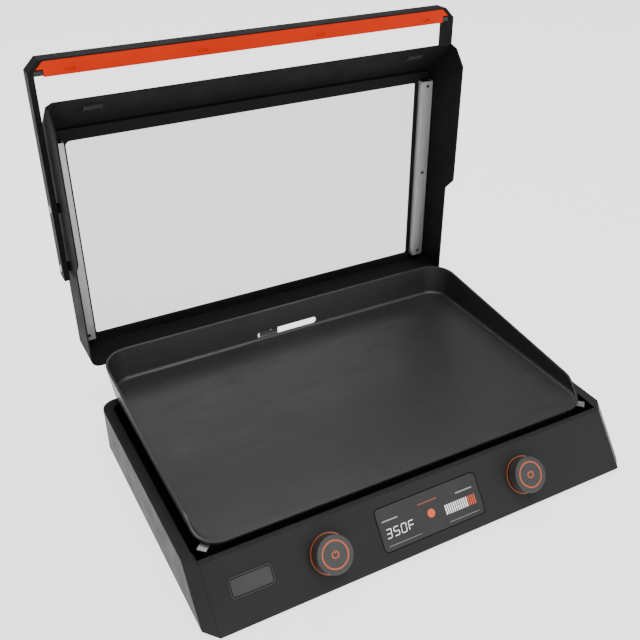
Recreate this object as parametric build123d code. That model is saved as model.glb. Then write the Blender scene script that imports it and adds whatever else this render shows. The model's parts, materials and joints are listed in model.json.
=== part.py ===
from build123d import *
import os
from math import atan2, cos, degrees, hypot, radians, sin, sqrt, tan

# Tabletop electric griddle with a hinged, glazed hood, shown with the hood open.
# Laid out in millimetres from the middle of the housing's lower front edge:
# +X to the right, +Y to the back, +Z up. ORIGIN_SHIFT then puts the origin on the
# table under the middle of the whole object.

# --- driving dimensions -------------------------------------------------------
foot_height = 6.0
overall_front = -2.71
hood_back = 532.0
ORIGIN_SHIFT = Pos(0, -(overall_front + hood_back) / 2, foot_height)

housing_half = 316.5
housing_depth = 404.0
housing_height = 66.0
housing_wall = 2.0
rear_corner_radius = 22.0
corner_chamfer_width = 15.5
corner_chamfer_run = 18.9

panel_half = housing_half - corner_chamfer_width
panel_run = 53.3
panel_length = hypot(panel_run, housing_height)
panel_angle = atan2(housing_height, panel_run)
panel_up = (0, cos(panel_angle), sin(panel_angle))
panel_out = (0, -sin(panel_angle), cos(panel_angle))
panel = Plane(origin=(0, 0, 0), x_dir=(1, 0, 0), z_dir=panel_out)
panel_sheet = 2.0
panel_ledge = 8.0
panel_lip_drop = 22.0
cover_sheet = 2.0
cover_front = 15.0
rest_level = cover_sheet + 0.02

control_height = 42.5
knob_offset = 147.0
knob_radius = 23.7
knob_base = 3.6
knob_top = 19.3
knob_ring_outer = 26.0
knob_ring_inner = 20.0
knob_ring_height = 1.5
push_travel = 1.5
shaft_radius = 3.0
shaft_clearance = 0.05

display_width = 152.0
display_length = 54.5
display_thickness = 2.5
board_back = -10.6
board_front = -9.0

floor_top = 73.0
floor_underside = 68.0
plate_half = 299.0
plate_front = 62.0
plate_rear = 444.0
plate_wall = 3.2
plate_draft = 7.5
plate_corner_radius = 36.0
rim_rear_height = 120.5
rim_front_y = 120.0
rim_slope = 0.0859
grease_slot_half = 52.0
grease_slot_low = 75.5
grease_slot_high = 87.0
scoop_front = 419.0
scoop_rear = 433.0
scoop_circle = 180.0
scoop_ball = 1437.0

hinge_y = 452.0
hinge_z = 93.0
hinge_offset = 205.0
pin_radius = 3.0
knuckle_radius = 5.5
knuckle_half = 10.5
ear_inner = 11.5
ear_thickness = 2.5

hood_half = 308.0
hood_sheet = 2.0
hood_floor = 90.0
hood_slope_base = 430.0
hood_tip = (466.0, 484.5)
hood_lip = (440.0, 454.0)
hood_deep_rim = 440.0
hood_shallow_rim = 460.0
hood_step_high = 270.0
hood_step_low = 250.0
hood_rear_radius = 8.0
hood_corner_cut = 7.5
hood_low_radius = 13.0

glass_low = 98.5
glass_high = 420.0
glass_half = 290.0
glass_front = 526.0
glass_thickness = 3.5
frame_front = 523.8
frame_opening_half = 281.2
frame_opening_low = 105.0
frame_opening_high = 411.6
strip_face = 511.5
strip_centre = 295.2
strip_half_width = 9.5
strip_low = 105.0
strip_high = 415.0
strip_screw_heights = (113.5, 260.4, 407.3)

handle_front = 490.0
handle_back = 514.0
handle_half = 319.6
handle_arm = 7.8
handle_top = 531.0
handle_chamfer = 15.0
handle_bottom = 224.0
grip_low = 509.6
grip_high = 529.2
handle_screw_heights = (240.0, 330.0)

cup_half = 74.0
cup_front = 412.0
cup_rear = 480.0
cup_low = 10.0
cup_high = 46.0
inlet_x = 142.0
inlet_z = 24.0


# --- shared building blocks ---------------------------------------------------
def block(x0, x1, y0, y1, z0, z1):
    """Rectangular block between two corners."""
    middle = Pos((x0 + x1) / 2, (y0 + y1) / 2, (z0 + z1) / 2)
    return middle * Box(x1 - x0, y1 - y0, z1 - z0)


def rod(start, end, radius):
    """Round bar from one point to another."""
    axis = Vector(*end) - Vector(*start)
    place = Plane(origin=start, z_dir=axis)
    return place * Cylinder(radius, axis.length, align=(Align.CENTER, Align.CENTER, Align.MIN))


def side_prism(points, x0, x1):
    """Outline in the Y-Z plane, extruded along X."""
    outline = make_face(Polyline(*points, close=True).edges())
    return extrude(Plane.YZ.offset(x0) * outline, amount=x1 - x0, dir=(1, 0, 0))


def front_prism(points, y0, y1):
    """Outline in the X-Z plane, extruded towards the back."""
    outline = make_face(Polyline(*points, close=True).edges())
    place = Plane(origin=(0, y1, 0), x_dir=(1, 0, 0), z_dir=(0, -1, 0))
    return extrude(place * outline, amount=y1 - y0, dir=(0, -1, 0))


def rounded_block(x0, x1, y0, y1, z0, z1, radius):
    """Block with rounded upright edges."""
    place = Pos((x0 + x1) / 2, (y0 + y1) / 2, z0)
    return extrude(place * RectangleRounded(x1 - x0, y1 - y0, radius), amount=z1 - z0)


def on_panel(x, up, out, shape):
    """Shape set on the sloping control panel, out along its normal."""
    return panel.location * Pos(x, up, out) * shape


def upright_tube(outer, inner, height):
    """Round tube standing on its base."""
    base = (Align.CENTER, Align.CENTER, Align.MIN)
    return Cylinder(outer, height, align=base) - Cylinder(inner, height, align=base)


def disc(radius, height):
    """Short round bar standing on its base."""
    return Cylinder(radius, height, align=(Align.CENTER, Align.CENTER, Align.MIN))


def both_sides(shape):
    """The shape and its mirror image across the middle."""
    return [shape, mirror(shape, about=Plane.YZ)]


def group(shapes):
    """Separate solids kept together in one node."""
    solids = []
    for shape in shapes:
        solids.extend(shape.solids())
    return Compound(children=solids)


# --- housing ------------------------------------------------------------------
def housing_volume(inset, z_low, z_high):
    """Space inside the housing's outline: upright sides, leaning front and front corners."""
    half = housing_half - inset
    rear = housing_depth - inset
    upright = rounded_block(-half, half, -300, rear, z_low, z_high, rear_corner_radius - inset)
    front = inset / panel_up[2]
    below = 20.0
    drop = below * panel_run / housing_height
    corner = half - corner_chamfer_width + inset / 3
    plan = [
        (-corner, front - drop),
        (corner, front - drop),
        (half, front + corner_chamfer_run - drop),
        (half, housing_depth + 100),
        (-half, housing_depth + 100),
        (-half, front + corner_chamfer_run - drop),
    ]
    outline = Pos(0, 0, -below) * make_face(Polyline(*plan, close=True).edges())
    leaning = extrude(outline, amount=2 * panel_length, dir=panel_up)
    return upright & leaning


def base_housing():
    """Folded side and rear walls with a narrow top flange and the two front corners."""
    shell = housing_volume(0, 0, housing_height)
    shell -= housing_volume(housing_wall, -1, housing_height - housing_wall)
    flange = 14.0
    shell -= rounded_block(
        -housing_half + flange, housing_half - flange, 66, housing_depth - flange,
        housing_height - 5, housing_height + 1, 12.0,
    )
    shell -= block(-panel_half - 0.1, panel_half + 0.1, -20, 90, -1, housing_height + 1)
    shell -= block(inlet_x - 24, inlet_x + 24, 395, 410, inlet_z - 14, inlet_z + 14)
    return shell


def front_fascia():
    """Sloping control panel with a top ledge, a turned-down lip and a bottom return."""
    half = panel_half - 0.1
    back_run = panel_sheet / panel_up[2]
    lean = panel_run / housing_height
    lip_y = panel_run + panel_ledge
    outline = [
        (0, 0),
        (panel_run, housing_height),
        (lip_y, housing_height),
        (lip_y, housing_height - panel_lip_drop),
        (lip_y - panel_sheet, housing_height - panel_lip_drop),
        (lip_y - panel_sheet, housing_height - panel_sheet),
        (back_run + (housing_height - panel_sheet) * lean, housing_height - panel_sheet),
        (back_run + panel_sheet * lean, panel_sheet),
        (cover_front - 0.5, panel_sheet),
        (cover_front - 0.5, 0),
    ]
    sheet = side_prism(outline, -half, half)
    window = RectangleRounded(display_width + 0.4, display_length + 0.4, 6.2)
    sheet -= on_panel(0, display_height(), -4, extrude(window, amount=8))
    for side in (-1, 1):
        sheet -= on_panel(side * knob_offset, control_height, -4, disc(4.6, 8))
    return sheet


def display_height():
    """Height of the display's centre up the panel."""
    return control_height + 0.5


def bottom_cover():
    """Flat underside closing the housing, with rows of cooling slots."""
    cover = housing_volume(housing_wall + 0.5, 0, cover_sheet)
    cover -= block(-400, 400, -20, cover_front, -1, cover_sheet + 1)
    slots = []
    for row in range(2):
        for column in range(9):
            x = (column - 4) * 40
            y = 190 + row * 90
            slots.append(rounded_block(x - 3, x + 3, y - 25, y + 25, -1, cover_sheet + 1, 2.9))
    for slot in slots:
        cover -= slot
    return cover


def rubber_feet():
    """Four tapered feet with a hollow for the fixing screw."""
    feet = []
    for x in (-270, 270):
        for y in (48, 368):
            foot = Pos(x, y, -foot_height / 2) * Cone(11.5, 13.5, foot_height)
            foot -= Pos(x, y, -foot_height) * disc(5, 3)
            feet.append(foot)
    return group(feet)


def cover_screws():
    """Pan-head screws through the bottom cover and into the feet's hollows."""
    screws = []
    for x in (-270, 270):
        for y in (48, 368):
            screws.append(Pos(x, y, -4.4) * disc(4, 1.4))
    return group(screws)


# --- cooking plate ------------------------------------------------------------
def tray_volume(inset, z_low, corner_radius):
    """Flared tray shape, wider towards the rim, from a given level upwards."""
    top = 132.0
    spread = (top - z_low) * tan_draft()
    edge = (rim_rear_height - z_low) * tan_draft() + inset
    half = plate_half - edge
    front = plate_front + edge
    rear = plate_rear - edge
    place = Pos(0, (front + rear) / 2, z_low)
    outline = RectangleRounded(2 * half, rear - front, corner_radius - spread / 2)
    return extrude(place * outline, amount=top - z_low, taper=-plate_draft)


def tan_draft():
    """Sideways growth of the plate's walls for each millimetre of height."""
    return tan(radians(plate_draft))


def above_rim():
    """Everything above the rim line, which falls to the floor at the front corners."""
    rim_front = rim_rear_height - rim_slope * (plate_rear - rim_front_y)
    rear_y = 500
    rear_z = rim_rear_height + rim_slope * (rear_y - plate_rear)
    rise_start = (72, floor_top)
    rise_end = (rim_front_y, rim_front)
    edges = [
        Line((20, floor_top), rise_start),
        Spline(rise_start, (97, 79.6), rise_end, tangents=[(1, 0), (1, rim_slope)]),
        Line(rise_end, (rear_y, rear_z)),
        Line((rear_y, rear_z), (rear_y, 200)),
        Line((rear_y, 200), (20, 200)),
        Line((20, 200), (20, floor_top)),
    ]
    return extrude(Plane.YZ.offset(-400) * make_face(edges), amount=800, dir=(1, 0, 0))


def griddle_plate():
    """Cast non-stick plate: flat floor, side and rear walls, open front, grease slot."""
    body = tray_volume(0, floor_underside, plate_corner_radius)
    body = fillet(body.faces().sort_by(Axis.Z)[0].edges(), 3)
    cavity = tray_volume(plate_wall, floor_top, plate_corner_radius - plate_wall)
    cavity = fillet(cavity.faces().sort_by(Axis.Z)[0].edges(), 5)
    plate = body - cavity - above_rim()
    slot_height = grease_slot_high - grease_slot_low
    place = Plane(
        origin=(0, plate_rear + 10, (grease_slot_low + grease_slot_high) / 2),
        x_dir=(1, 0, 0), z_dir=(0, -1, 0),
    )
    plate -= extrude(place * SlotOverall(2 * grease_slot_half, slot_height), amount=30)
    ball_rise = sqrt(scoop_ball**2 - scoop_circle**2)
    ball = Pos(0, scoop_front + scoop_circle, floor_top + ball_rise) * Sphere(scoop_ball)
    reach = block(-90, 90, scoop_front - 5, scoop_rear, floor_top - 4, floor_top + 1)
    return plate - (ball & reach)


def plate_posts():
    """Four bent brackets that carry the plate."""
    posts = []
    for y in (104, 380):
        post = block(262, 282, y - 9, y + 9, rest_level, cover_sheet + 2)
        post += block(262, 264, y - 9, y + 9, rest_level, floor_underside)
        post += block(262, 282, y - 9, y + 9, floor_underside - 2, floor_underside)
        posts.extend(both_sides(post))
    return group(posts)


def plate_clips():
    """Bright locating tabs under the plate's front corners."""
    tab = Rot(0, 0, 45) * block(-6, 6, -10, 8, floor_underside - 1.7, floor_underside - 0.1)
    leg = Rot(0, 0, 45) * block(-6, 6, 6.4, 8, rest_level, floor_underside - 0.1)
    clip = Pos(284, 79, 0) * (tab + leg)
    return group(both_sides(clip))


# --- heating ------------------------------------------------------------------
def heating_element():
    """Sheathed tube bent into four runs under the right half of the plate."""
    runs = (40, 105, 175, 240)
    height = floor_underside - 3.8
    route = [
        (runs[0], 98), (runs[0], 385), (runs[1], 385), (runs[1], 125),
        (runs[2], 125), (runs[2], 385), (runs[3], 385), (runs[3], 98),
    ]
    path = FilletPolyline(*[(x, y, height) for x, y in route], radius=32)
    start = Plane(origin=(runs[0], 98, height), x_dir=(1, 0, 0), z_dir=(0, 1, 0))
    return sweep(start * Circle(3.5), path=path)


def element_supports():
    """Upright strips between the reflector and the heating tubes."""
    strips = []
    for y in (180, 320):
        for side in (-1, 1):
            strips.append(block(140 * side - 108, 140 * side + 108, y - 1, y + 1, 39, 60.6))
    return group(strips)


def heat_reflector():
    """Shallow bright pan under the elements, standing on folded legs."""
    pan = block(-258, 258, 100, 395, 38, 54) - block(-257, 257, 101, 394, 39, 60)
    for x in (-257.5, 257.5):
        for y in (130, 250, 370):
            pan += block(x - 0.5, x + 0.5, y - 8, y + 8, cover_sheet, 39)
    return pan


def heat_shield():
    """Sheet between the hot bay and the electronics, with a foot and a drip shelf."""
    half = 272
    sheet = block(-half, half, 84, 85, cover_sheet, 62)
    sheet += block(-half, half, 85, 93, cover_sheet, cover_sheet + 1)
    sheet += block(-half, half, 60, 84, 42, 43)
    tube_height = floor_underside - 3.8
    for x in (-240, -40, 40, 240):
        sheet -= rod((x, 80, tube_height), (x, 90, tube_height), 6)
    return sheet


def temperature_probe():
    """Sprung sensor that touches the plate's underside on the right."""
    probe = Pos(140, 250, 39) * disc(8, 17)
    probe += Pos(140, 250, 56) * disc(5, floor_underside - 56)
    return probe


def thermal_cutoffs():
    """Two safety thermostats on the reflector."""
    cutoff = Pos(72, 350, 39) * disc(8, 9)
    cutoff += block(62, 82, 347, 353, 39, 40)
    return group(both_sides(cutoff))


# --- controls -----------------------------------------------------------------
def control_board():
    """Circuit board behind the panel."""
    return on_panel(0, 43, board_back, extrude(RectangleRounded(340, 46, 2), amount=1.6))


def display_module():
    """Segment display block between board and window."""
    display = extrude(RectangleRounded(140, 40, 2), amount=6.8)
    return on_panel(0, display_height(), board_front, display)


def display_window():
    """Dark window set flush into the panel, with a softened front edge."""
    window = extrude(RectangleRounded(display_width, display_length, 6), amount=display_thickness)
    window = chamfer(window.faces().sort_by(Axis.Z)[-1].edges(), 0.5)
    return on_panel(0, display_height(), -2.0, window)


def knob_ring():
    """Lit ring on the panel around the right knob."""
    ring = upright_tube(knob_ring_outer, knob_ring_inner, knob_ring_height)
    ring = chamfer(ring.faces().sort_by(Axis.Z)[-1].edges(), 0.4)
    return on_panel(knob_offset, control_height, 0, ring)


def encoder():
    """Rotary encoder: a hollow case behind the panel, a bushing and its nut."""
    case = extrude(Rectangle(14, 14), amount=7)
    case -= Pos(0, 0, 0.6) * disc(5.5, 5.4)
    case += Pos(0, 0, 7) * disc(4.4, 4.6)
    case += Pos(0, 0, 9.05) * extrude(RegularPolygon(6.4, 6), amount=1.4)
    case -= Pos(0, 0, 5) * disc(shaft_radius + shaft_clearance, 10)
    return on_panel(knob_offset, control_height, board_front, case)


def encoder_plunger():
    """Push contact inside the encoder, under the shaft."""
    return on_panel(knob_offset, control_height, board_front + 2.4, disc(4.2, 1.6))


def encoder_shaft():
    """Turning shaft from the encoder up into the knob, with a collar inside the case."""
    shaft = Pos(0, 0, board_front + 4.05) * disc(shaft_radius, 17.5)
    shaft += Pos(0, 0, board_front + 4.05) * disc(4.4, 1.2)
    shaft -= block(-4, 4, shaft_radius - 1.2, 4, 3.2, 14)
    return on_panel(knob_offset, control_height, 0, shaft)


def knob():
    """Round cap with a dished face, a softened rim, and a hub on the shaft's flat."""
    height = knob_top - knob_base
    cap = disc(knob_radius, height)
    cap = fillet(cap.faces().sort_by(Axis.Z)[-1].edges(), 1.2)
    cap = chamfer(cap.faces().sort_by(Axis.Z)[0].edges(), 0.8)
    cap -= Pos(0, 0, -0.1) * disc(knob_radius - 2.2, height - 2.9)
    cap -= Pos(0, 0, height - 0.8) * upright_tube(17.6, 15.7, 1)
    hub_low = 1.4
    hub = Pos(0, 0, hub_low) * disc(6.5, height - 3.0 - hub_low)
    bore = Pos(0, 0, -1) * disc(shaft_radius, 10.05)
    bore -= block(-4, 4, shaft_radius - 1.2, 4, -2, 12)
    cap += hub - bore
    return on_panel(knob_offset, control_height, knob_base, cap)


def knob_inlay():
    """Coloured ring let into the knob's face."""
    ring = upright_tube(17.6, 15.7, 0.8)
    return on_panel(knob_offset, control_height, knob_top - 0.8, ring)


def badge_plate():
    """Small blank rounded badge at the panel's left end."""
    badge = extrude(RectangleRounded(56, 25, 5.5), amount=1.2)
    badge = chamfer(badge.faces().sort_by(Axis.Z)[-1].edges(), 0.5)
    return on_panel(-248, 47, 0, badge)


def power_board():
    """Switching board with relays and a small transformer, on standoffs."""
    board = block(-288, -182, 38, 78, 10, 11.6)
    board += block(-282, -262, 52, 72, 11.6, 27)
    board += block(-256, -236, 52, 72, 11.6, 27)
    board += block(-228, -200, 46, 74, 11.6, 33)
    for x in (-284, -186):
        for y in (42, 74):
            board += Pos(x, y, cover_sheet) * disc(3, 8)
    return board


def power_inlet():
    """Recessed three-pin mains inlet in the rear wall."""
    flange = block(inlet_x - 32, inlet_x + 32, 404, 406.5, inlet_z - 15, inlet_z + 15)
    flange += block(inlet_x - 23.5, inlet_x + 23.5, 384, 404, inlet_z - 12.5, inlet_z + 12.5)
    flange -= block(inlet_x - 12.5, inlet_x + 12.5, 389, 410, inlet_z - 8.5, inlet_z + 8.5)
    for dx, dz in ((-7, -2), (0, 3), (7, -2)):
        x, z = inlet_x + dx, inlet_z + dz
        flange += block(x - 1, x + 1, 388, 401, z - 2.5, z + 2.5)
    return flange


# --- hinges and grease cup ----------------------------------------------------
def hinge_bracket():
    """Right fixed half: strap on the rear wall, two ears and a stop bar."""
    outer = ear_inner + ear_thickness
    strap = block(-26, 26, 404, 406.5, 14, 60)
    ear_points = [
        (406.5, 40), (406.5, 60), (446.5, 60), (446.5, hinge_z),
        (457.5, hinge_z), (457.5, 62), (444, 52),
    ]
    bracket = strap
    for side in (-1, 1):
        low, high = sorted((side * ear_inner, side * outer))
        bracket += side_prism(ear_points, low, high)
        bracket += rod((low, hinge_y, hinge_z), (high, hinge_y, hinge_z), knuckle_radius)
    bracket += block(-outer, outer, 406.5, 440, 57.5, 60)
    bracket += block(-outer, outer, 452, 457.5, 83, 87.2)
    bracket -= rod((-20, hinge_y, hinge_z), (20, hinge_y, hinge_z), pin_radius)
    return Pos(hinge_offset, 0, 0) * bracket


def hinge_pin():
    """Right hinge pin with a small head on each end."""
    outer = ear_inner + ear_thickness
    pin = rod((-outer, hinge_y, hinge_z), (outer, hinge_y, hinge_z), pin_radius)
    pin += rod((-outer - 1.5, hinge_y, hinge_z), (-outer, hinge_y, hinge_z), pin_radius + 1.4)
    pin += rod((outer, hinge_y, hinge_z), (outer + 1.5, hinge_y, hinge_z), pin_radius + 1.4)
    return Pos(hinge_offset, 0, 0) * pin


def hinge_leaf():
    """Right moving half: knuckle on the pin and a leaf under the hood's rear wall."""
    leaf = rod((-knuckle_half, hinge_y, hinge_z), (knuckle_half, hinge_y, hinge_z), knuckle_radius)
    leaf += block(-knuckle_half, knuckle_half, hinge_y, 462, 87.5, hood_floor)
    leaf += block(-28, 28, 462, 502, 87.5, hood_floor)
    leaf -= rod((-20, hinge_y, hinge_z), (20, hinge_y, hinge_z), pin_radius + shaft_clearance)
    return Pos(hinge_offset, 0, 0) * leaf


def rear_screws():
    """Screws that hold the hinge brackets and the cup hanger to the rear wall."""
    heads = []
    for x in (hinge_offset - 20, hinge_offset + 20):
        for z in (22, 50):
            heads.extend(both_sides(rod((x, 406.5, z), (x, 408.7, z), 3.6)))
    heads.extend(both_sides(rod((cup_half + 11, 405.8, 28), (cup_half + 11, 408, 28), 3.2)))
    return group(heads)


def leaf_rivets():
    """Domed rivets through the hinge leaves."""
    rivets = []
    for x in (hinge_offset - 18, hinge_offset + 18):
        rivets.extend(both_sides(rod((x, 482, 85.9), (x, 482, 87.5), 3.2)))
    return group(rivets)


def cup_hanger():
    """Pair of rails on the rear wall that carry the grease cup, joined by a rear plate."""
    low = cup_half + 1
    plate = block(-low - 18, low + 18, 404, 405.8, 18, 38)
    rails = block(low + 1.8, low + 3.6, 405.8, 474, 18, 38)
    rails += block(low - 3.5, low + 3.6, 405.8, 474, 36.2, 38)
    hanger = plate
    for rail in both_sides(rails):
        hanger += rail
    return hanger


def grease_cup():
    """Open cup that hangs on the rails by its side rims."""
    cup = rounded_block(-cup_half + 4, cup_half - 4, cup_front, cup_rear, cup_low, cup_high, 12)
    cup -= rounded_block(-cup_half + 6, cup_half - 6, cup_front + 2, cup_rear - 2, cup_low + 2, 60, 10)
    rim = rounded_block(-cup_half - 1, cup_half + 1, cup_front, cup_rear + 4, 38.4, 40.2, 4)
    rim -= rounded_block(-cup_half + 6, cup_half - 6, cup_front + 2, cup_rear - 2, 30, 60, 10)
    return cup + rim


def grease_lip():
    """Small screwed tab under the slot that guides grease down into the cup."""
    tab = block(-43, -11, 436, 452, floor_underside - 1.6, floor_underside)
    tab += block(-43, -11, 450.4, 452, floor_underside - 1.6, 80)
    return tab


def lip_screw():
    """Screw on the guide tab."""
    return rod((-24, 448.4, 75), (-24, 450.4, 75), 2.8)


# --- hood ---------------------------------------------------------------------
def hood_solid(inset):
    """Hood outline as a solid, pulled in evenly; the inner one runs out past the open front."""
    lean = (hood_tip[1] - hood_slope_base) / (hood_back - hood_tip[0])
    back = hood_back - inset
    floor = hood_floor + inset
    slope_base = hood_slope_base - inset * (hypot(1, lean) - lean)
    if inset == 0:
        front = [
            hood_tip, hood_lip, (hood_deep_rim, hood_step_high),
            (hood_shallow_rim, hood_step_low), (hood_shallow_rim, floor),
        ]
    else:
        beyond = 400.0
        front = [(beyond, slope_base + (back - beyond) * lean), (beyond, floor)]
    half = hood_half - inset
    solid = side_prism([(back, floor), (back, slope_base)] + front, -half, half)
    rear_edges = [
        edge for edge in solid.edges()
        if abs(edge.center().Y - back) < 0.1 and edge.center().Z < 300
    ]
    solid = fillet(rear_edges, hood_rear_radius - inset)
    cut = hood_corner_cut
    top = hood_tip[1]
    crosswise = front_prism(
        [
            (-half, floor), (half, floor), (half, top - cut), (half - cut, top),
            (half - cut, top + 90), (cut - half, top + 90), (cut - half, top), (-half, top - cut),
        ],
        300, 600,
    )
    low_edges = crosswise.edges().filter_by(Axis.Y).sort_by(Axis.Z)[:2]
    return solid & fillet(low_edges, hood_low_radius - inset)


def hood_shell():
    """Pressed hood: rear wall, sides, glazed top, short sloping front, stepped open rim."""
    shell = hood_solid(0) - hood_solid(hood_sheet)
    window = front_prism(
        [(-283, 103), (283, 103), (283, 413.5), (-283, 413.5)], hood_back - 10, hood_back + 10,
    )
    return shell - fillet(window.edges().filter_by(Axis.Y), 5)


def window_block(half, low, high, y0, y1):
    """Slab as large as the hood's window, or a little larger or smaller."""
    corners = [(-half, low), (half, low), (half, high), (-half, high)]
    return front_prism(corners, y0, y1)


def glass_seal():
    """Flat silicone seal between the shell and the glass."""
    rear = hood_back - hood_sheet
    seal = window_block(glass_half, glass_low, glass_high, glass_front + glass_thickness, rear)
    opening = window_block(285, 105, 411.5, glass_front, rear + 1)
    return seal - fillet(opening.edges().filter_by(Axis.Y), 5)


def hood_glass():
    """Toughened glass pane."""
    rear = glass_front + glass_thickness
    pane = window_block(glass_half, glass_low, glass_high, glass_front, rear)
    return chamfer(pane.edges().filter_by(Axis.Y), 3)


def glass_frame():
    """Inner frame that holds the pane against its seal."""
    frame = window_block(304, 94, 428, frame_front, glass_front - 0.1)
    low_edges = frame.edges().filter_by(Axis.Y).sort_by(Axis.Z)[:2]
    frame = fillet(low_edges, hood_low_radius - hood_sheet)
    opening = window_block(
        frame_opening_half, frame_opening_low, frame_opening_high, frame_front - 1, glass_front,
    )
    frame -= fillet(opening.edges().filter_by(Axis.Y), 7)
    for z in strip_screw_heights:
        for hole in both_sides(strip_screw_shank(z, 2.5)):
            frame -= hole
    return frame


def strip_screw_shank(z, radius):
    """Right screw's shank, from the strip's face to the hood's top wall."""
    return rod((strip_centre, strip_face, z), (strip_centre, hood_back - hood_sheet, z), radius)


def glass_strip():
    """Right channel-section strip that clamps the frame and the pane."""
    low, high = strip_centre - strip_half_width, strip_centre + strip_half_width
    sheet = 1.5
    strip = block(low, high, strip_face, strip_face + sheet, strip_low, strip_high)
    strip += block(low, low + sheet, strip_face, frame_front, strip_low, strip_high)
    strip += block(high - sheet, high, strip_face, frame_front, strip_low, strip_high)
    for z in strip_screw_heights:
        strip -= strip_screw_shank(z, 2.5)
    return strip


def strip_screws():
    """Six screws through the strips into the hood."""
    screws = []
    for z in strip_screw_heights:
        screw = strip_screw_shank(z, 2.0)
        screw += rod((strip_centre, strip_face - 1.2, z), (strip_centre, strip_face, z), 2.6)
        screws.extend(both_sides(screw))
    return group(screws)


def lip_pads():
    """Rubber pads inside the hood's front lip."""
    pad = block(-13, 13, -2.5, 0, -5, 5)
    slope = atan2(hood_tip[1] - hood_slope_base, hood_back - hood_tip[0])
    reach = 25.2
    depth = hood_sheet + 0.02
    y = hood_tip[0] + reach * cos(slope) - depth * sin(slope)
    z = hood_tip[1] - reach * sin(slope) - depth * cos(slope)
    return group(both_sides(Pos(247, y, z) * Rot(90 - degrees(slope), 0, 0) * pad))


# --- handle -------------------------------------------------------------------
def handle_outline(half, top, chamfer_size, bottom):
    """Front outline of the handle: two arms joined by a bar with cut corners."""
    return [
        (-half, bottom), (-half, top - chamfer_size), (-half + chamfer_size, top),
        (half - chamfer_size, top), (half, top - chamfer_size), (half, bottom),
    ]


def handle_frame():
    """U-shaped black frame, open below, that stands off the hood's sides."""
    outside = handle_outline(handle_half, handle_top, handle_chamfer, handle_bottom)
    inside = handle_outline(handle_half - handle_arm, handle_top - 1.6, 12, handle_bottom - 10)
    outer = front_prism(outside, handle_front, handle_back)
    return outer - front_prism(inside, handle_front - 1, handle_back + 1)


def handle_grip():
    """Coloured insert under the frame's bar, notched at both ends, with shallow slots."""
    half = handle_half - handle_arm - 0.2
    grip = block(-half, half, handle_front + 0.2, handle_back - 1, grip_low, grip_high)
    for side in (-1, 1):
        low, high = sorted((side * (half - 12), side * (half + 5)))
        grip -= block(low, high, handle_front - 5, handle_back + 5, grip_low - 5, grip_low + 9.5)
        corner = half - 14.5
        outline = [
            (side * corner, handle_top), (side * (corner + 20), handle_top),
            (side * (corner + 20), handle_top - 20),
        ]
        grip -= front_prism(outline, handle_front - 5, handle_back + 5)
    for x in (-267, -89, 89, 267):
        slot = Plane(origin=(x, handle_front, 516.5), x_dir=(1, 0, 0), z_dir=(0, -1, 0))
        grip -= extrude(slot * SlotOverall(14, 4), amount=-1.4)
    return grip


def grip_clips():
    """Black end clips that lock the insert into the frame."""
    half = handle_half - handle_arm
    front, back = handle_front + 1.5, handle_back - 2
    clip = block(half - 11.8, half, front, back, grip_low + 1.5, grip_low + 7.7)
    return group(both_sides(clip))


def handle_spacers():
    """Round spacers between the hood's sides and the handle's arms."""
    spacers = []
    for z in handle_screw_heights:
        start = (hood_half, 502, z)
        end = (handle_half - handle_arm, 502, z)
        spacers.extend(both_sides(rod(start, end, 7)))
    return group(spacers)


def handle_screws():
    """Button-head screws outside the arms."""
    screws = []
    for z in handle_screw_heights:
        head = rod((handle_half, 502, z), (handle_half + 0.4, 502, z), 5)
        screws.extend(both_sides(head))
    return group(screws)


# --- assembly -----------------------------------------------------------------
def mirrored_pairs():
    """Parts that come as a right one and a mirrored left one."""
    makers = {
        "heating_element": heating_element,
        "temperature_probe": temperature_probe,
        "knob_ring": knob_ring,
        "encoder": encoder,
        "encoder_plunger": encoder_plunger,
        "encoder_shaft": encoder_shaft,
        "knob": knob,
        "knob_inlay": knob_inlay,
        "hinge_bracket": hinge_bracket,
        "hinge_pin": hinge_pin,
        "hinge_leaf": hinge_leaf,
        "glass_strip": glass_strip,
    }
    pairs = {}
    for name, make in makers.items():
        right, left = both_sides(make())
        pairs[name + "_right"] = right
        pairs[name + "_left"] = left
    return pairs


def single_parts():
    """Parts that the object has once, and groups of identical pieces."""
    makers = (
        base_housing, front_fascia, bottom_cover, rubber_feet, cover_screws,
        griddle_plate, plate_posts, plate_clips, element_supports, heat_reflector,
        heat_shield, thermal_cutoffs, control_board, display_module, display_window,
        badge_plate, power_board, power_inlet, rear_screws, leaf_rivets,
        cup_hanger, grease_cup, grease_lip, lip_screw, hood_shell, glass_seal,
        hood_glass, glass_frame, strip_screws, lip_pads, handle_frame, handle_grip,
        grip_clips, handle_spacers, handle_screws,
    )
    return {make.__name__: make() for make in makers}


def main():
    os.makedirs("parts", exist_ok=True)
    parts = single_parts() | mirrored_pairs()
    for name, shape in parts.items():
        export_step(ORIGIN_SHIFT * shape, f"parts/{name}.step")


main()
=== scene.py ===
"""Tabletop electric griddle with its glazed hood open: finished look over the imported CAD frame."""

import json
from math import cos, pi, radians, sin

import bmesh
import bpy
from mathutils import Matrix, Vector


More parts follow.
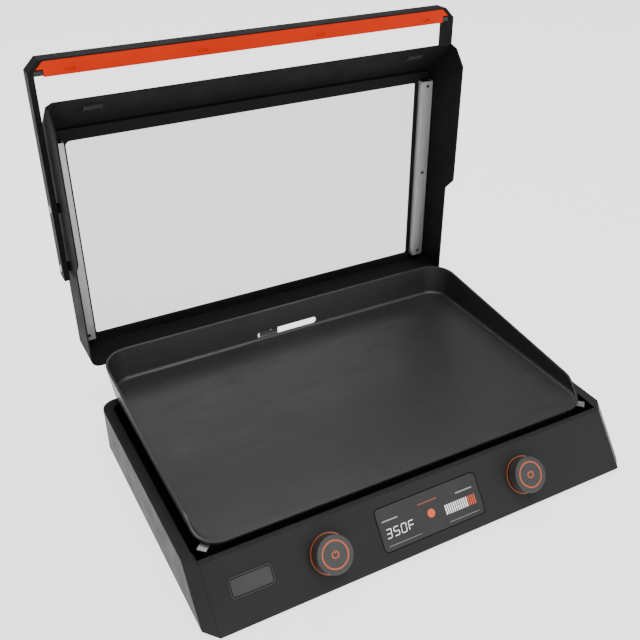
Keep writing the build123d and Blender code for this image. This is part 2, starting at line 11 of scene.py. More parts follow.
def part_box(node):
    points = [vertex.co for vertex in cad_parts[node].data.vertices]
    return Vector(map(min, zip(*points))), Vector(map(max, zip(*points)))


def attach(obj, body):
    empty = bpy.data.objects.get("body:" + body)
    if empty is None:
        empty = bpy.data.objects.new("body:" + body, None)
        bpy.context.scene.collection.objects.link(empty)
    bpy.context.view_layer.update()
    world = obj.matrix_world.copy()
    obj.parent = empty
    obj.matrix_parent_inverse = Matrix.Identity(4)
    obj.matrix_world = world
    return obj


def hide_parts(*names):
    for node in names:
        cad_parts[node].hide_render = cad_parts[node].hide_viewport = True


# --- driving numbers, in metres unless named otherwise --------------------------
MM = 0.001
CAMERA_PLACE = (-0.4977, -0.87425, 0.8238)
CAMERA_TILT = radians(58.01)
CAMERA_TURN = radians(-28.02)
CAMERA_ROLL = radians(-0.13)
CAMERA_LENS_MM = 48.27
CAMERA_SENSOR_MM = 36.0
CAMERA_CLIP_START = 0.02

# The control panel's numbers are in millimetres.
DISPLAY_TOP = 0.5
DISPLAY_WIDTH = 152.0
DISPLAY_LENGTH = 54.5
DISPLAY_RISE = 0.5
DISPLAY_CORNER = 6.0
SEAM_WIDTH = 1.0
SEAM_LIFT = 0.12
PRINT_LIFT = 0.03
PRINT_DEPTH = 0.05

DIGITS_LEFT = -68.5
DIGITS_BASE = -11.3
DIGIT_HEIGHT = 10.8
DIGIT_WIDTH = 7.0
DIGIT_PITCH = 10.9
DIGIT_STROKE = 1.05
DIGIT_SLANT = 0.1
DIGIT_GAP = 0.2
GAUGE_LEFT = 20.6
GAUGE_RIGHT = 68.6
GAUGE_BOTTOM = -11.6
GAUGE_TOP = 0.8
GAUGE_BARS = 15
GAUGE_WARM_BARS = 4
GAUGE_BAR_SHARE = 0.48
ROUND_MARK_MIDDLE = (-0.2, -2.0)
ROUND_MARK_RADIUS = 5.5
# Each rule or label bar runs from left to right and from bottom to top.
RULES = (
    (-69.0, -21.0, -21.4, -20.9), (22.0, 68.0, -21.9, -21.4),
    (-70.0, -47.0, 9.3, 10.9), (41.0, 66.5, 9.2, 10.8),
)
HEADING = (-16.0, 13.5, 12.9, 14.7)

KNOB_RING_TOP = 1.5
# Size of the glowing line on each knob ring, a painted highlight along the ring's edge.
RING_LINE_INNER = 24.3
RING_LINE_OUTER = 25.1
RING_LINE_LIFT = 0.12
POWER_ARC_INNER = 3.6
POWER_ARC_OUTER = 4.7
POWER_ARC_START = radians(120)
POWER_ARC_SWEEP = radians(300)
POWER_STROKE_HALF = 0.55
POWER_STROKE_LOW = 1.6
POWER_STROKE_HIGH = 5.4

BADGE_TOP = 1.2
BADGE_HALF_WIDTH = 25.6
BADGE_HALF_LENGTH = 10.1
BADGE_CORNER = 3.4
BADGE_BORDER = 0.9
BADGE_BORDER_LIFT = 0.25

# Everything from here on is in metres again.
SCREW_RECESS_SHARE = 0.52
RECESS_ARM_SHARE = 0.3
MERGE_DISTANCE = 1e-6
SHARP_ANGLE = radians(32)

SKY_STRENGTH = 0.36
HORIZON_STRENGTH = 1.3
HORIZON_TOP = 0.2
HORIZON_BOTTOM = 0.02
FLOOR_SIZE = 30.0
FLOOR_DROP = 0.0005
FLOOR_GLOW = 2.1

# Well under real glass, which keeps the plate's mirror image out of the pane.
GLASS_IOR = 1.15
EDGE_RADIUS = 0.6 * MM
FINE_EDGE_RADIUS = 0.25 * MM
COATING_GRAIN = 1500.0
COATING_DEPTH = 0.02
PLASTIC_GRAIN = 2200.0
PLATE_EDGE_RADIUS = 1.0 * MM
STREAK = 0.12

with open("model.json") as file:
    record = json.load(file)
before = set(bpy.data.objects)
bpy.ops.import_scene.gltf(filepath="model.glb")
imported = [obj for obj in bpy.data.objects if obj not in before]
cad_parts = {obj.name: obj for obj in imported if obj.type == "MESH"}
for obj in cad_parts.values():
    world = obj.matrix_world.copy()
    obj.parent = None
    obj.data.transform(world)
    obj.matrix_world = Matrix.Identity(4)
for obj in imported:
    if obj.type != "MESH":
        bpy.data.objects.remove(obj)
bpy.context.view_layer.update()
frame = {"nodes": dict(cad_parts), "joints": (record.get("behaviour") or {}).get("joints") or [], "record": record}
NODES = frame["nodes"]
JOINTS = {joint["name"]: joint for joint in frame["joints"]}


# --- shader building ------------------------------------------------------------
class Finish:
    """One procedural material, with short ways to add and join its nodes."""

    def __init__(self, name):
        self.material = bpy.data.materials.new(name)
        self.material.use_nodes = True
        self.tree = self.material.node_tree
        self.shader = self.tree.nodes["Principled BSDF"]
        self.place = self.add("ShaderNodeTexCoord").outputs["Object"]

    def add(self, kind, **settings):
        node = self.tree.nodes.new(kind)
        for key, value in settings.items():
            setattr(node, key, value)
        return node

    def join(self, output, socket):
        self.tree.links.new(output, socket)

    def set(self, socket, value):
        self.shader.inputs[socket].default_value = value

    def stretched(self, scale):
        """Object coordinates stretched along the axes, for brushed or streaked marks."""
        mapping = self.add("ShaderNodeMapping")
        mapping.inputs["Scale"].default_value = scale
        self.join(self.place, mapping.inputs["Vector"])
        return mapping.outputs["Vector"]

    def noise(self, scale, detail=3.0, place=None):
        node = self.add("ShaderNodeTexNoise")
        node.inputs["Scale"].default_value = scale
        node.inputs["Detail"].default_value = detail
        self.join(place or self.place, node.inputs["Vector"])
        return node.outputs["Fac"]

    def cells(self, scale):
        """Distance to the nearest point of a scattered set."""
        node = self.add("ShaderNodeTexVoronoi")
        node.inputs["Scale"].default_value = scale
        self.join(self.place, node.inputs["Vector"])
        return node.outputs["Distance"]

    def ranged(self, value, low_in, high_in, low_out, high_out):
        node = self.add("ShaderNodeMapRange")
        for name, number in (("From Min", low_in), ("From Max", high_in),
                             ("To Min", low_out), ("To Max", high_out)):
            node.inputs[name].default_value = number
        self.join(value, node.inputs["Value"])
        return node.outputs["Result"]

    def times(self, first, second):
        node = self.add("ShaderNodeMath", operation="MULTIPLY")
        self.join(first, node.inputs[0])
        self.join(second, node.inputs[1])
        return node.outputs["Value"]

    def blend(self, amount, first, second):
        """Colour between first and second; either may be a colour or a node's output."""
        node = self.add("ShaderNodeMix", data_type="RGBA")
        self.join(amount, node.inputs["Factor"])
        for socket, colour in ((node.inputs[6], first), (node.inputs[7], second)):
            if isinstance(colour, tuple):
                socket.default_value = (*colour, 1.0)
            else:
                self.join(colour, socket)
        return node.outputs[2]

    def soft_normal(self, radius):
        """Surface normal with rounded edges."""
        node = self.add("ShaderNodeBevel", samples=4)
        node.inputs["Radius"].default_value = radius
        return node.outputs["Normal"]

    def edges(self, soft):
        """Nearly 1 along edges and 0 on flat faces, from the rounded normal."""
        geometry = self.add("ShaderNodeNewGeometry")
        product = self.add("ShaderNodeVectorMath", operation="DOT_PRODUCT")
        self.join(soft, product.inputs[0])
        self.join(geometry.outputs["Normal"], product.inputs[1])
        return self.ranged(product.outputs["Value"], 0.998, 0.9, 0.0, 1.0)

    def bump(self, height, distance, strength, normal=None):
        node = self.add("ShaderNodeBump")
        node.inputs["Strength"].default_value = strength
        node.inputs["Distance"].default_value = distance
        self.join(height, node.inputs["Height"])
        if normal is not None:
            self.join(normal, node.inputs["Normal"])
        return node.outputs["Normal"]

    def colour(self, output):
        self.join(output, self.shader.inputs["Base Color"])

    def roughness(self, output):
        self.join(output, self.shader.inputs["Roughness"])

    def normal(self, output):
        self.join(output, self.shader.inputs["Normal"])


def lighter(colour, factor):
    return tuple(min(1.0, channel * factor) for channel in colour)


def coated_metal(name, colour, rough, gloss=0.3, wear=1.6, radius=EDGE_RADIUS):
    """Powder-coated sheet: fine orange-peel grain, cloudy tone, edges rubbed a little lighter."""
    finish = Finish(name)
    soft = finish.soft_normal(radius)
    cloud = finish.ranged(finish.noise(9.0), 0.3, 0.7, 0.0, 1.0)
    tone = finish.blend(cloud, lighter(colour, 0.9), lighter(colour, 1.1))
    rub = finish.ranged(finish.noise(60.0, 5.0), 0.4, 0.65, 0.15, 1.0)
    worn = finish.times(finish.edges(soft), rub)
    finish.colour(finish.blend(worn, tone, lighter(colour, wear)))
    finish.roughness(finish.ranged(finish.noise(35.0, 5.0), 0.3, 0.7, rough - 0.05, rough + 0.06))
    finish.normal(finish.bump(finish.noise(COATING_GRAIN, 2.0), COATING_DEPTH * MM, 0.5, soft))
    finish.set("Specular IOR Level", gloss)
    return finish.material


def brushed_metal(name, colour, rough, stretch):
    """Bare metal with fine streaks along one direction."""
    finish = Finish(name)
    soft = finish.soft_normal(FINE_EDGE_RADIUS)
    lines = finish.noise(1.0, 4.0, finish.stretched(stretch))
    finish.colour(finish.blend(lines, lighter(colour, 1 - STREAK), lighter(colour, 1 + STREAK)))
    finish.roughness(finish.ranged(lines, 0.3, 0.7, rough - 0.07, rough + 0.08))
    finish.normal(finish.bump(lines, 0.02 * MM, 0.25, soft))
    finish.set("Metallic", 1.0)
    return finish.material


def moulded_plastic(name, colour, rough, gloss=0.3, depth=0.015, radius=EDGE_RADIUS):
    """Moulded plastic with a spark-eroded grain, slight tone changes and a painted highlight along its edges."""
    finish = Finish(name)
    soft = finish.soft_normal(radius)
    cloud = finish.ranged(finish.noise(14.0), 0.3, 0.7, 0.0, 1.0)
    tone = finish.blend(cloud, lighter(colour, 0.94), lighter(colour, 1.06))
    # Edges painted lighter in patches: a painted highlight.
    painted_edge_highlight = finish.times(finish.edges(soft), finish.noise(80.0, 4.0))
    finish.colour(finish.blend(painted_edge_highlight, tone, lighter(colour, 1.35)))
    finish.roughness(finish.ranged(finish.noise(50.0, 4.0), 0.3, 0.7, rough - 0.05, rough + 0.05))
    finish.normal(finish.bump(finish.noise(PLASTIC_GRAIN, 2.0), depth * MM, 0.4, soft))
    finish.set("Specular IOR Level", gloss)
    return finish.material


def soft_rubber(name, colour, gloss=0.3):
    """Matt rubber with a dusty bloom."""
    finish = Finish(name)
    bloom = finish.ranged(finish.noise(120.0, 5.0), 0.45, 0.75, 0.0, 1.0)
    finish.colour(finish.blend(bloom, colour, lighter(colour, 1.7)))
    finish.roughness(finish.ranged(finish.noise(200.0), 0.3, 0.7, 0.75, 0.92))
    finish.normal(finish.bump(finish.noise(1400.0, 3.0), 0.04 * MM, 0.5))
    finish.set("Specular IOR Level", gloss)
    return finish.material


def speckled_coating(name, colour):
    """Non-stick coating: dark ground, pale flecks of two sizes, pebbly sheen, faint wipe marks."""
    finish = Finish(name)
    soft = finish.soft_normal(PLATE_EDGE_RADIUS)
    cloud = finish.ranged(finish.noise(7.0, 4.0), 0.3, 0.7, 0.0, 1.0)
    ground = finish.blend(cloud, lighter(colour, 0.88), lighter(colour, 1.12))
    patchy = finish.ranged(finish.noise(420.0, 2.0), 0.45, 0.6, 0.0, 1.0)
    large = finish.times(finish.ranged(finish.cells(430.0), 0.22, 0.12, 0.0, 0.85), patchy)
    small = finish.ranged(finish.cells(1100.0), 0.2, 0.1, 0.0, 0.5)
    flecked = finish.blend(large, ground, (0.085, 0.083, 0.086))
    finish.colour(finish.blend(small, flecked, (0.045, 0.043, 0.046)))
    wipe = finish.noise(1.0, 5.0, finish.stretched((14.0, 60.0, 14.0)))
    finish.roughness(finish.ranged(wipe, 0.3, 0.7, 0.34, 0.46))
    finish.normal(finish.bump(finish.noise(700.0, 4.0), 0.05 * MM, 0.55, soft))
    finish.set("Specular IOR Level", 0.5)
    return finish.material


def clear_glass(name, colour):
    """Tinted clear pane with faint wiped smears in its gloss."""
    finish = Finish(name)
    smear = finish.noise(1.0, 5.0, finish.stretched((6.0, 6.0, 30.0)))
    finish.roughness(finish.ranged(smear, 0.45, 0.8, 0.0, 0.03))
    finish.normal(finish.bump(finish.noise(5.0, 1.0), 0.02 * MM, 0.1))
    tint = finish.ranged(finish.noise(3.0), 0.3, 0.7, 0.0, 1.0)
    finish.colour(finish.blend(tint, colour, lighter(colour, 1.02)))
    finish.set("Transmission Weight", 1.0)
    finish.set("IOR", GLASS_IOR)
    return finish.material


def lit_print(name, colour, power):
    """Mark on a window or knob with a faint glow, slightly uneven as such marks are: the display's marks are lit,
    while on the knobs the glow is painted light.
    """
    finish = Finish(name)
    uneven = finish.ranged(finish.noise(400.0), 0.3, 0.7, 0.0, 1.0)
    tone = finish.blend(uneven, lighter(colour, 0.85), colour)
    finish.colour(tone)
    finish.join(tone, finish.shader.inputs["Emission Color"])
    finish.set("Emission Strength", power)
    finish.roughness(finish.ranged(finish.noise(300.0), 0.3, 0.7, 0.35, 0.5))
    return finish.material


def circuit_board(name, colour):
    """Solder mask with a faint pattern of tracks under it."""
    finish = Finish(name)
    tracks = finish.ranged(finish.cells(350.0), 0.3, 0.34, 0.0, 1.0)
    finish.colour(finish.blend(tracks, colour, lighter(colour, 1.6)))
    finish.roughness(finish.ranged(finish.noise(90.0), 0.3, 0.7, 0.28, 0.4))
    finish.normal(finish.bump(tracks, 0.03 * MM, 0.3))
    return finish.material


def pale_floor(name):
    """Seamless grey floor, turned nearly white by the light it gives off."""
    finish = Finish(name)
    tone = finish.noise(2.0)
    finish.colour(finish.blend(tone, (0.29, 0.29, 0.29), (0.31, 0.31, 0.31)))
    finish.roughness(finish.ranged(tone, 0.3, 0.7, 0.7, 0.8))
    finish.set("Emission Color", (1.0, 1.0, 1.0, 1.0))
    finish.set("Emission Strength", FLOOR_GLOW)
    return finish.material


FINISHES = {
    "housing_paint": coated_metal("housing_paint", (0.021, 0.021, 0.0215), 0.5, gloss=0.12),
    "cover_steel": coated_metal("cover_steel", (0.014, 0.014, 0.0145), 0.5, gloss=0.2),
    # Darker than housing_paint, partly as painted shade for the hood's shaded inside.
    "hood_paint": coated_metal("hood_paint", (0.0115, 0.0115, 0.0119), 0.58, gloss=0.025, wear=1.8),
    "handle_paint": coated_metal("handle_paint", (0.0085, 0.0085, 0.0089), 0.55, gloss=0.04, wear=2.2),
    "grip_orange": moulded_plastic("grip_orange", (0.5, 0.018, 0.0), 0.5, gloss=0.05),
    "plate_coating": speckled_coating("plate_coating", (0.018, 0.0163, 0.0172)),
    "pane_glass": clear_glass("pane_glass", (0.66, 0.664, 0.664)),
    "strip_metal": brushed_metal("strip_metal", (0.6, 0.6, 0.61), 0.66, (900.0, 900.0, 12.0)),
    "bright_steel": brushed_metal("bright_steel", (0.36, 0.36, 0.37), 0.38, (700.0, 25.0, 700.0)),
    "zinc_steel": brushed_metal("zinc_steel", (0.4, 0.4, 0.41), 0.36, (500.0, 500.0, 500.0)),
    "hinge_steel": coated_metal("hinge_steel", (0.02, 0.02, 0.021), 0.4, wear=2.5),
    "cup_steel": brushed_metal("cup_steel", (0.46, 0.46, 0.47), 0.3, (12.0, 700.0, 700.0)),
    "foot_rubber": soft_rubber("foot_rubber", (0.016, 0.016, 0.016)),
    "seal_silicone": soft_rubber("seal_silicone", (0.02, 0.02, 0.021)),
    "tube_sheath": brushed_metal("tube_sheath", (0.13, 0.12, 0.11), 0.45, (300.0, 300.0, 300.0)),
    "black_plastic": moulded_plastic("black_plastic", (0.012, 0.012, 0.013), 0.45),
    "board_green": circuit_board("board_green", (0.02, 0.1, 0.045)),
    "window_plastic": moulded_plastic(
        "window_plastic", (0.024, 0.024, 0.0245), 0.36, gloss=0.2, depth=0.004, radius=FINE_EDGE_RADIUS,
    ),
    "knob_plastic": moulded_plastic("knob_plastic", (0.04, 0.041, 0.04), 0.42, depth=0.01),
    # The knobs' orange inlay glows a little: painted light, not a lamp.
    "inlay_orange": lit_print("inlay_orange", (0.42, 0.065, 0.012), 0.35),
    # Dark brown: the knob ring's orange darkened as painted shade on the ring.
    "ring_orange": moulded_plastic("ring_orange", (0.045, 0.018, 0.012), 0.35, radius=FINE_EDGE_RADIUS),
    "badge_metal": coated_metal("badge_metal", (0.036, 0.036, 0.037), 0.4, radius=FINE_EDGE_RADIUS),
    "encoder_metal": brushed_metal("encoder_metal", (0.5, 0.5, 0.5), 0.3, (400.0, 400.0, 400.0)),
}
PRINT_WHITE = lit_print("print_white", (0.86, 0.87, 0.88), 0.7)
PRINT_GREY = lit_print("print_grey", (0.3, 0.3, 0.3), 0.15)
PRINT_ORANGE = lit_print("print_orange", (0.62, 0.065, 0.004), 0.45)
PRINT_DULL_ORANGE = lit_print("print_dull_orange", (0.18, 0.028, 0.008), 0.3)
# Pale orange glowing line on each knob ring: a painted highlight, not a lamp.
PAINTED_RING_HIGHLIGHT = lit_print("painted_ring_highlight", (0.42, 0.09, 0.03), 0.3)
SEAM_BLACK = soft_rubber("seam_black", (0.004, 0.004, 0.004), gloss=0.02)


def dress_frame():
    """Gives every CAD node its slot's finish."""
    for part in frame["record"]["subparts"]:
        material = FINISHES[part["material_slot"]]
        mesh = NODES[part["node"]].data
        mesh.materials.clear()
        mesh.materials.append(material)


# --- mesh building --------------------------------------------------------------
def make_piece(name, mesh_builder, material, body, place=None):
    """New object from a bmesh, placed, given its finish and set riding on a body."""
    mesh = bpy.data.meshes.new(name)
    bmesh.ops.recalc_face_normals(mesh_builder, faces=mesh_builder.faces[:])
    mesh_builder.to_mesh(mesh)
    mesh_builder.free()
    if place is not None:
        mesh.transform(place)
    mesh.shade_smooth()
    mesh.set_sharp_from_angle(angle=SHARP_ANGLE)
    mesh.materials.append(material)
    piece = bpy.data.objects.new(name, mesh)
    bpy.context.scene.collection.objects.link(piece)
    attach(piece, body)
    return piece


def add_plate(builder, outline, low, high):
    """Flat closed slab from a 2-D outline between two heights."""
    bottom = [builder.verts.new((x, y, low)) for x, y in outline]
    top = [builder.verts.new((x, y, high)) for x, y in outline]
    builder.faces.new(bottom[::-1])
    builder.faces.new(top)
    for index in range(len(outline)):
        following = (index + 1) % len(outline)
        builder.faces.new((bottom[index], bottom[following], top[following], top[index]))


def add_turned(builder, profile, outline_at=None, steps=48):
    """Turned solid about Z: rings of (radius, height), closed at both ends.

    outline_at maps a ring's index and angle to a radius factor, for shaped recesses."""
    rings = []
    for level, (radius, height) in enumerate(profile):
        ring = []
        for step in range(steps):
            angle = 2 * pi * step / steps
            reach = radius * (outline_at(level, angle) if outline_at else 1.0)
            ring.append(builder.verts.new((reach * cos(angle), reach * sin(angle), height)))
        rings.append(ring)
    for lower, upper in zip(rings, rings[1:]):
        for step in range(steps):
            following = (step + 1) % steps
            builder.faces.new((lower[step], lower[following], upper[following], upper[step]))
    builder.faces.new(rings[0][::-1])
    builder.faces.new(rings[-1])


def add_placed(builder, shape, place):
    """Moves a finished shape to its place and joins it to the builder; the shape is used up."""
    holder = bpy.data.meshes.new("holder")
    shape.to_mesh(holder)
    shape.free()
    holder.transform(place)
    builder.from_mesh(holder)
    bpy.data.meshes.remove(holder)


def add_ring(builder, inner, outer, low, high, steps=96, start=0.0, sweep=2 * pi):
    """Flat ring, or part of one, between two radii and two heights."""
    whole = sweep > 2 * pi - 0.001
    count = steps if whole else steps + 1
    rows = []
    for step in range(count):
        angle = start + sweep * step / steps
        across, along = cos(angle), sin(angle)
        corners = ((inner, low), (outer, low), (outer, high), (inner, high))
        rows.append([builder.verts.new((r * across, r * along, z)) for r, z in corners])
    for step in range(steps):
        first, second = rows[step], rows[(step + 1) % count]
        for corner in range(4):
            after = (corner + 1) % 4
            builder.faces.new((first[corner], first[after], second[after], second[corner]))
    if not whole:
        builder.faces.new(rows[0])
        builder.faces.new(rows[-1][::-1])


def add_rounded_frame(builder, half_width, half_height, radius, thickness, low, high):
    """Thin rectangular frame with rounded corners, thickness measured outwards."""
    rows = []
    corners = ((1, 1, 0.0), (-1, 1, pi / 2), (-1, -1, pi), (1, -1, 1.5 * pi))
    for side_x, side_y, start in corners:
        for step in range(9):
            angle = start + (pi / 2) * step / 8
            middle_x = side_x * (half_width - radius)
            middle_y = side_y * (half_height - radius)
            row = []
            for reach, z in ((radius, low), (radius + thickness, low),
                             (radius + thickness, high), (radius, high)):
                row.append(builder.verts.new(
                    (middle_x + reach * cos(angle), middle_y + reach * sin(angle), z)))
            rows.append(row)
    for index, first in enumerate(rows):
        second = rows[(index + 1) % len(rows)]
        for corner in range(4):
            after = (corner + 1) % 4
            builder.faces.new((first[corner], first[after], second[after], second[corner]))


# --- control panel --------------------------------------------------------------
def panel_axes():
    """The panel's outward normal and its up direction."""
    out = Vector(JOINTS["right_knob_turn"]["axis"]).normalized()
    return out, out.cross(Vector((1, 0, 0))).normalized()


def panel_place(x, up_shift, out_shift):
    """Placement in millimetres on the panel: x across, then up and out from the knobs' level."""
    out, up = panel_axes()
    knob = Vector(JOINTS["right_knob_turn"]["pos_m"])
    origin = Vector((0.0, knob.y, knob.z)) + up * up_shift * MM + out * out_shift * MM
    origin.x = x * MM
    turn = Matrix((Vector((1, 0, 0)), up, out)).transposed().to_4x4()
    return Matrix.Translation(origin) @ turn @ Matrix.Scale(MM, 4)


SEGMENTS = {"3": "abcdg", "5": "acdfg", "0": "abcdef", "F": "aefg"}


def segment_outline(letter):
    """Pointed outline of one stroke of a seven-stroke digit, about its lower left corner."""
    wide, tall, half = DIGIT_WIDTH, DIGIT_HEIGHT, DIGIT_STROKE / 2
    lines = {
        "a": ((0, tall), (wide, tall)), "g": ((0, tall / 2), (wide, tall / 2)),
        "d": ((0, 0), (wide, 0)), "f": ((0, tall / 2), (0, tall)),
        "b": ((wide, tall / 2), (wide, tall)), "e": ((0, 0), (0, tall / 2)),
        "c": ((wide, 0), (wide, tall / 2)),
    }
    start, end = (Vector(point) for point in lines[letter])
    along = (end - start).normalized()
    across = Vector((-along.y, along.x))
    start, end = start + along * DIGIT_GAP, end - along * DIGIT_GAP
    points = [
        start, start + (along - across) * half, end - (along + across) * half,
        end, end - (along - across) * half, start + (along + across) * half,
    ]
    return [(p.x + p.y * DIGIT_SLANT, p.y) for p in points]


def add_print(builder, outline):
    """Thin printed or lit mark, just clear of the surface under it."""
    add_plate(builder, outline, PRINT_LIFT, PRINT_LIFT + PRINT_DEPTH)


def display_place():
    """Placement on the display window's face."""
    return panel_place(0, DISPLAY_RISE, DISPLAY_TOP)


def display_piece(name, builder, material):
    make_piece(name, builder, material, "base", display_place())


def display_digits():
    """A plain temperature in seven-stroke digits."""
    digits = bmesh.new()
    for index, character in enumerate("350F"):
        left = DIGITS_LEFT + index * DIGIT_PITCH
        for letter in SEGMENTS[character]:
            add_print(digits, [(left + x, DIGITS_BASE + y) for x, y in segment_outline(letter)])
    display_piece("display_digits", digits, PRINT_WHITE)


def display_gauge():
    """Bar gauge whose last bars are warm, and a plain round mark in the same colour."""
    cool = bmesh.new()
    warm = bmesh.new()
    pitch = (GAUGE_RIGHT - GAUGE_LEFT) / GAUGE_BARS
    for bar in range(GAUGE_BARS):
        builder = warm if bar >= GAUGE_BARS - GAUGE_WARM_BARS else cool
        left = GAUGE_LEFT + bar * pitch
        right = left + pitch * GAUGE_BAR_SHARE
        add_print(builder, rectangle(left, right, GAUGE_BOTTOM, GAUGE_TOP))
    add_print(warm, disc(*ROUND_MARK_MIDDLE, ROUND_MARK_RADIUS))
    display_piece("display_gauge", cool, PRINT_WHITE)
    display_piece("display_warning", warm, PRINT_ORANGE)


def display_rules():
    """Thin rules, and plain bars where labels would be."""
    rules = bmesh.new()
    for rule in RULES:
        add_print(rules, rounded_bar(*rule))
    display_piece("display_rules", rules, PRINT_GREY)
    heading = bmesh.new()
    add_print(heading, rounded_bar(*HEADING))
    display_piece("display_heading", heading, PRINT_DULL_ORANGE)


def display_seam():
    """Dark line round the window, on the panel."""
    seam = bmesh.new()
    add_rounded_frame(
        seam, DISPLAY_WIDTH / 2, DISPLAY_LENGTH / 2, DISPLAY_CORNER, SEAM_WIDTH,
        -DISPLAY_TOP, SEAM_LIFT - DISPLAY_TOP,
    )
    make_piece("display_seam", seam, SEAM_BLACK, "base", display_place())


def rectangle(left, right, bottom, top):
    return [(left, bottom), (right, bottom), (right, top), (left, top)]


def rounded_bar(left, right, bottom, top):
    """Outline of a thin bar with cut corners."""
    cut = (top - bottom) * 0.3
    return [
        (left + cut, bottom), (right - cut, bottom), (right, bottom + cut), (right, top - cut),
        (right - cut, top), (left + cut, top), (left, top - cut), (left, bottom + cut),
    ]


def disc(middle_x, middle_y, radius, steps=48):
    """Outline of a plain round mark."""
    angles = [2 * pi * step / steps for step in range(steps)]
    return [(middle_x + radius * cos(angle), middle_y + radius * sin(angle)) for angle in angles]


def knob_marks():
    """Painted highlight line in the ring round each knob, and a plain on-off symbol on the knob's face whose faint
    glow is painted light.
    """
    out, _ = panel_axes()
    centre = Vector(JOINTS["right_knob_turn"]["pos_m"])
    face = max(
        (Vector(vertex.co) - centre).dot(out) for vertex in NODES["knob_right"].data.vertices
    ) / MM
    for side, sign in (("left", -1), ("right", 1)):
        x = sign * abs(centre.x) / MM
        line = bmesh.new()
        add_ring(line, RING_LINE_INNER, RING_LINE_OUTER, 0.0, RING_LINE_LIFT)
        make_piece(
            f"painted_ring_highlight_{side}", line, PAINTED_RING_HIGHLIGHT, "base",
            panel_place(x, 0, KNOB_RING_TOP),
        )
        symbol = bmesh.new()
        add_ring(
            symbol, POWER_ARC_INNER, POWER_ARC_OUTER, PRINT_LIFT, PRINT_LIFT + PRINT_DEPTH,
            40, POWER_ARC_START, POWER_ARC_SWEEP,
        )
        half = POWER_STROKE_HALF
        add_print(symbol, rectangle(-half, half, POWER_STROKE_LOW, POWER_STROKE_HIGH))
        # The symbol's faint glow is painted light.
        make_piece(
            f"knob_symbol_{side}", symbol, PRINT_ORANGE, f"{side}_knob",
            panel_place(x, 0, face),
        )


def badge_border():
    """Raised dark border round the blank badge."""
    low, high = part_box("badge_plate")
    centre = (low + high) / 2
    out, up = panel_axes()
    knob = Vector(JOINTS["right_knob_turn"]["pos_m"])
    rise = (centre - knob).dot(up) / MM
    border = bmesh.new()
    add_rounded_frame(
        border, BADGE_HALF_WIDTH, BADGE_HALF_LENGTH, BADGE_CORNER, BADGE_BORDER, 0.0, BADGE_BORDER_LIFT,
    )
    make_piece(
        "badge_border", border, SEAM_BLACK, "base",
        panel_place(centre.x / MM, rise, BADGE_TOP),
    )


# --- fasteners and feet ---------------------------------------------------------
def islands(node):
    """Lowest and highest corner of each separate solid of a CAD node."""
    mesh = NODES[node].data
    builder = bmesh.new()
    builder.from_mesh(mesh)
    bmesh.ops.remove_doubles(builder, verts=builder.verts[:], dist=MERGE_DISTANCE)
    seen = set()
    boxes = []
    for vertex in builder.verts:
        if vertex in seen:
            continue
        group, waiting = [], [vertex]
        seen.add(vertex)
        while waiting:
            current = waiting.pop()
            group.append(current.co.copy())
            for edge in current.link_edges:
                other = edge.other_vert(current)
                if other not in seen:
                    seen.add(other)
                    waiting.append(other)
        low = Vector([min(point[axis] for point in group) for axis in range(3)])
        high = Vector([max(point[axis] for point in group) for axis in range(3)])
        boxes.append((low, high))
    builder.free()
    return boxes


def cross_recess(recess_levels):
    """Radius factor that turns the given rings of a turned head into a cross-shaped recess."""
    def factor(level, angle):
        if level not in recess_levels:
            return 1.0
        across, along = abs(cos(angle)), abs(sin(angle))
        long_side, short_side = max(across, along), min(across, along)
        if short_side / long_side <= RECESS_ARM_SHARE:
            return 1.0 / long_side
        return RECESS_ARM_SHARE / short_side

    return factor


def screw_set(node, direction, body, slot, head_height, shank_radius=None):
    """Domed cross-recessed screws in place of a CAD node's plain ones.

    direction is the way the heads face, or the object's right side for screws that face
    outwards on both sides. Each screw keeps its CAD box."""
    facing = Vector(direction)
    builder = bmesh.new()
    for low, high in islands(node):
        centre = (low + high) / 2
        length = abs((high - low).dot(facing))
        wide = [(high - low)[axis] for axis in range(3) if abs(facing[axis]) < 0.5]
        radius = max(wide) / 2
        way = -facing if facing.x > 0.5 and centre.x < 0 else facing
        tall = min(head_height, length)
        recess = radius * SCREW_RECESS_SHARE
        profile = [
            (radius, length - tall), (radius, length - tall * 0.45), (radius * 0.93, length - tall * 0.2),
            (radius * 0.75, length - tall * 0.03), (recess * 1.04, length), (recess, length),
            (recess * 0.82, length - tall * 0.6),
        ]
        if shank_radius and length > tall * 1.2:
            profile = [(shank_radius, 0), (shank_radius, length - tall)] + profile
        count = len(profile)
        shape = bmesh.new()
        add_turned(shape, profile, cross_recess({count - 1, count - 2, count - 3}))
        base = centre - way * length / 2
        turn = way.to_track_quat("Z", "Y").to_matrix().to_4x4()
        add_placed(builder, shape, Matrix.Translation(base) @ turn)
    piece = make_piece(f"{node}_detailed", builder, FINISHES[slot], body)
    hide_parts(node)


def moulded_feet():
    """Ribbed rubber feet in place of the plain cones."""
    builder = bmesh.new()
    for low, high in islands("rubber_feet"):
        centre = (low + high) / 2
        radius = (high.x - low.x) / 2
        tall = high.z - low.z
        profile = [
            (radius * 0.36, tall * 0.5), (radius * 0.37, 0.0003), (radius * 0.4, 0.0),
            (radius * 0.78, 0.0), (radius * 0.85, 0.0004), (radius * 0.87, tall * 0.3),
            (radius * 0.83, tall * 0.36), (radius * 0.83, tall * 0.42), (radius * 0.9, tall * 0.5),
            (radius * 0.98, tall * 0.9), (radius, tall * 0.97), (radius * 0.97, tall),
        ]
        shape = bmesh.new()
        add_turned(shape, profile, steps=56)
        add_placed(builder, shape, Matrix.Translation((centre.x, centre.y, low.z)))
    piece = make_piece("rubber_feet_detailed", builder, FINISHES["foot_rubber"], "base")
    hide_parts("rubber_feet")


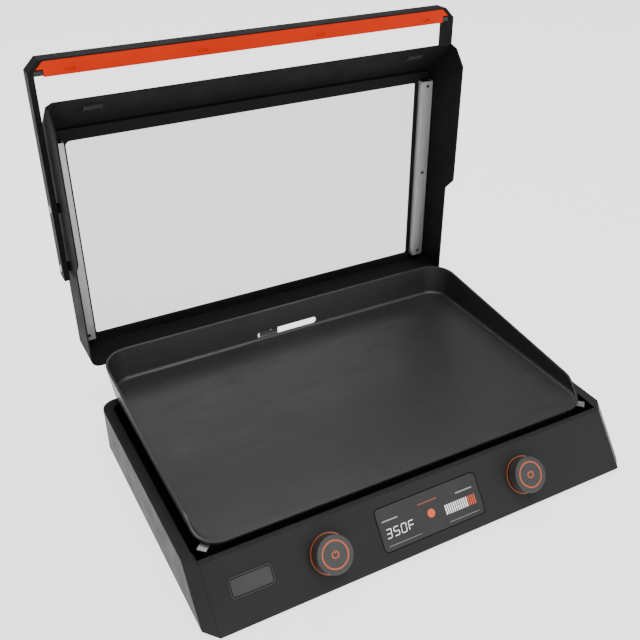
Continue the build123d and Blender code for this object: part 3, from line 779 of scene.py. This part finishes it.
# --- stage ----------------------------------------------------------------------
def studio():
    """Pale floor, world, soft lights and the camera."""
    studio_floor()
    studio_world()
    soft_light("overhead", (0.2, -0.6, 2.6), (0.0, 0.0, 0.0), size=2.0, power=55.0)
    soft_light("front_fill", (0.9, -2.4, 1.6), (0.0, 0.0, 0.2), size=1.4, power=26.0)
    soft_light("plate_sheen", (0.35, 1.35, 1.75), (-0.1, -0.1, 0.1), size=1.4, power=15.0)
    studio_camera()


def studio_floor():
    """Wide floor that gives off light, just under the feet."""
    builder = bmesh.new()
    bmesh.ops.create_grid(builder, x_segments=8, y_segments=8, size=FLOOR_SIZE)
    mesh = bpy.data.meshes.new("floor")
    builder.to_mesh(mesh)
    builder.free()
    mesh.materials.append(pale_floor("pale_floor"))
    floor = bpy.data.objects.new("floor", mesh)
    floor.location.z = -FLOOR_DROP
    bpy.context.scene.collection.objects.link(floor)


def studio_world():
    """White sky, brighter in a band at the horizon."""
    world = bpy.data.worlds.new("studio")
    bpy.context.scene.world = world
    world.use_nodes = True
    tree = world.node_tree
    direction = tree.nodes.new("ShaderNodeTexCoord")
    parts = tree.nodes.new("ShaderNodeSeparateXYZ")
    glow = tree.nodes.new("ShaderNodeMapRange")
    for name, number in (("From Min", HORIZON_BOTTOM), ("From Max", HORIZON_TOP),
                         ("To Min", HORIZON_STRENGTH), ("To Max", SKY_STRENGTH)):
        glow.inputs[name].default_value = number
    tree.links.new(direction.outputs["Generated"], parts.inputs["Vector"])
    tree.links.new(parts.outputs["Z"], glow.inputs["Value"])
    tree.links.new(glow.outputs["Result"], tree.nodes["Background"].inputs["Strength"])
    tree.nodes["Background"].inputs["Color"].default_value = (1.0, 1.0, 1.0, 1.0)


def studio_camera():
    """Camera looking down on the front left corner."""
    data = bpy.data.cameras.new("camera")
    data.lens = CAMERA_LENS_MM
    data.sensor_width = CAMERA_SENSOR_MM
    data.clip_start = CAMERA_CLIP_START
    camera = bpy.data.objects.new("camera", data)
    bpy.context.scene.collection.objects.link(camera)
    turn = (
        Matrix.Rotation(CAMERA_TURN, 4, "Z") @ Matrix.Rotation(CAMERA_TILT, 4, "X")
        @ Matrix.Rotation(CAMERA_ROLL, 4, "Z")
    )
    camera.matrix_world = Matrix.Translation(CAMERA_PLACE) @ turn
    bpy.context.scene.camera = camera


def soft_light(name, place, target, size, power):
    """Square soft box aimed at a point."""
    data = bpy.data.lights.new(name, "AREA")
    data.energy = power
    data.size = size
    light = bpy.data.objects.new(name, data)
    bpy.context.scene.collection.objects.link(light)
    aim = (Vector(target) - Vector(place)).to_track_quat("-Z", "Y").to_matrix().to_4x4()
    light.matrix_world = Matrix.Translation(place) @ aim


def main():
    studio()
    dress_frame()
    display_digits()
    display_gauge()
    display_rules()
    display_seam()
    knob_marks()
    badge_border()
    screw_set("strip_screws", (0, -1, 0), "hood", "hinge_steel", 1.2 * MM, shank_radius=2.0 * MM)
    screw_set("rear_screws", (0, 1, 0), "base", "zinc_steel", 2.2 * MM)
    screw_set("handle_screws", (1, 0, 0), "hood", "zinc_steel", 0.4 * MM)
    screw_set("lip_screw", (0, -1, 0), "base", "zinc_steel", 2.0 * MM)
    screw_set("cover_screws", (0, 0, -1), "base", "zinc_steel", 1.4 * MM)
    moulded_feet()


main()
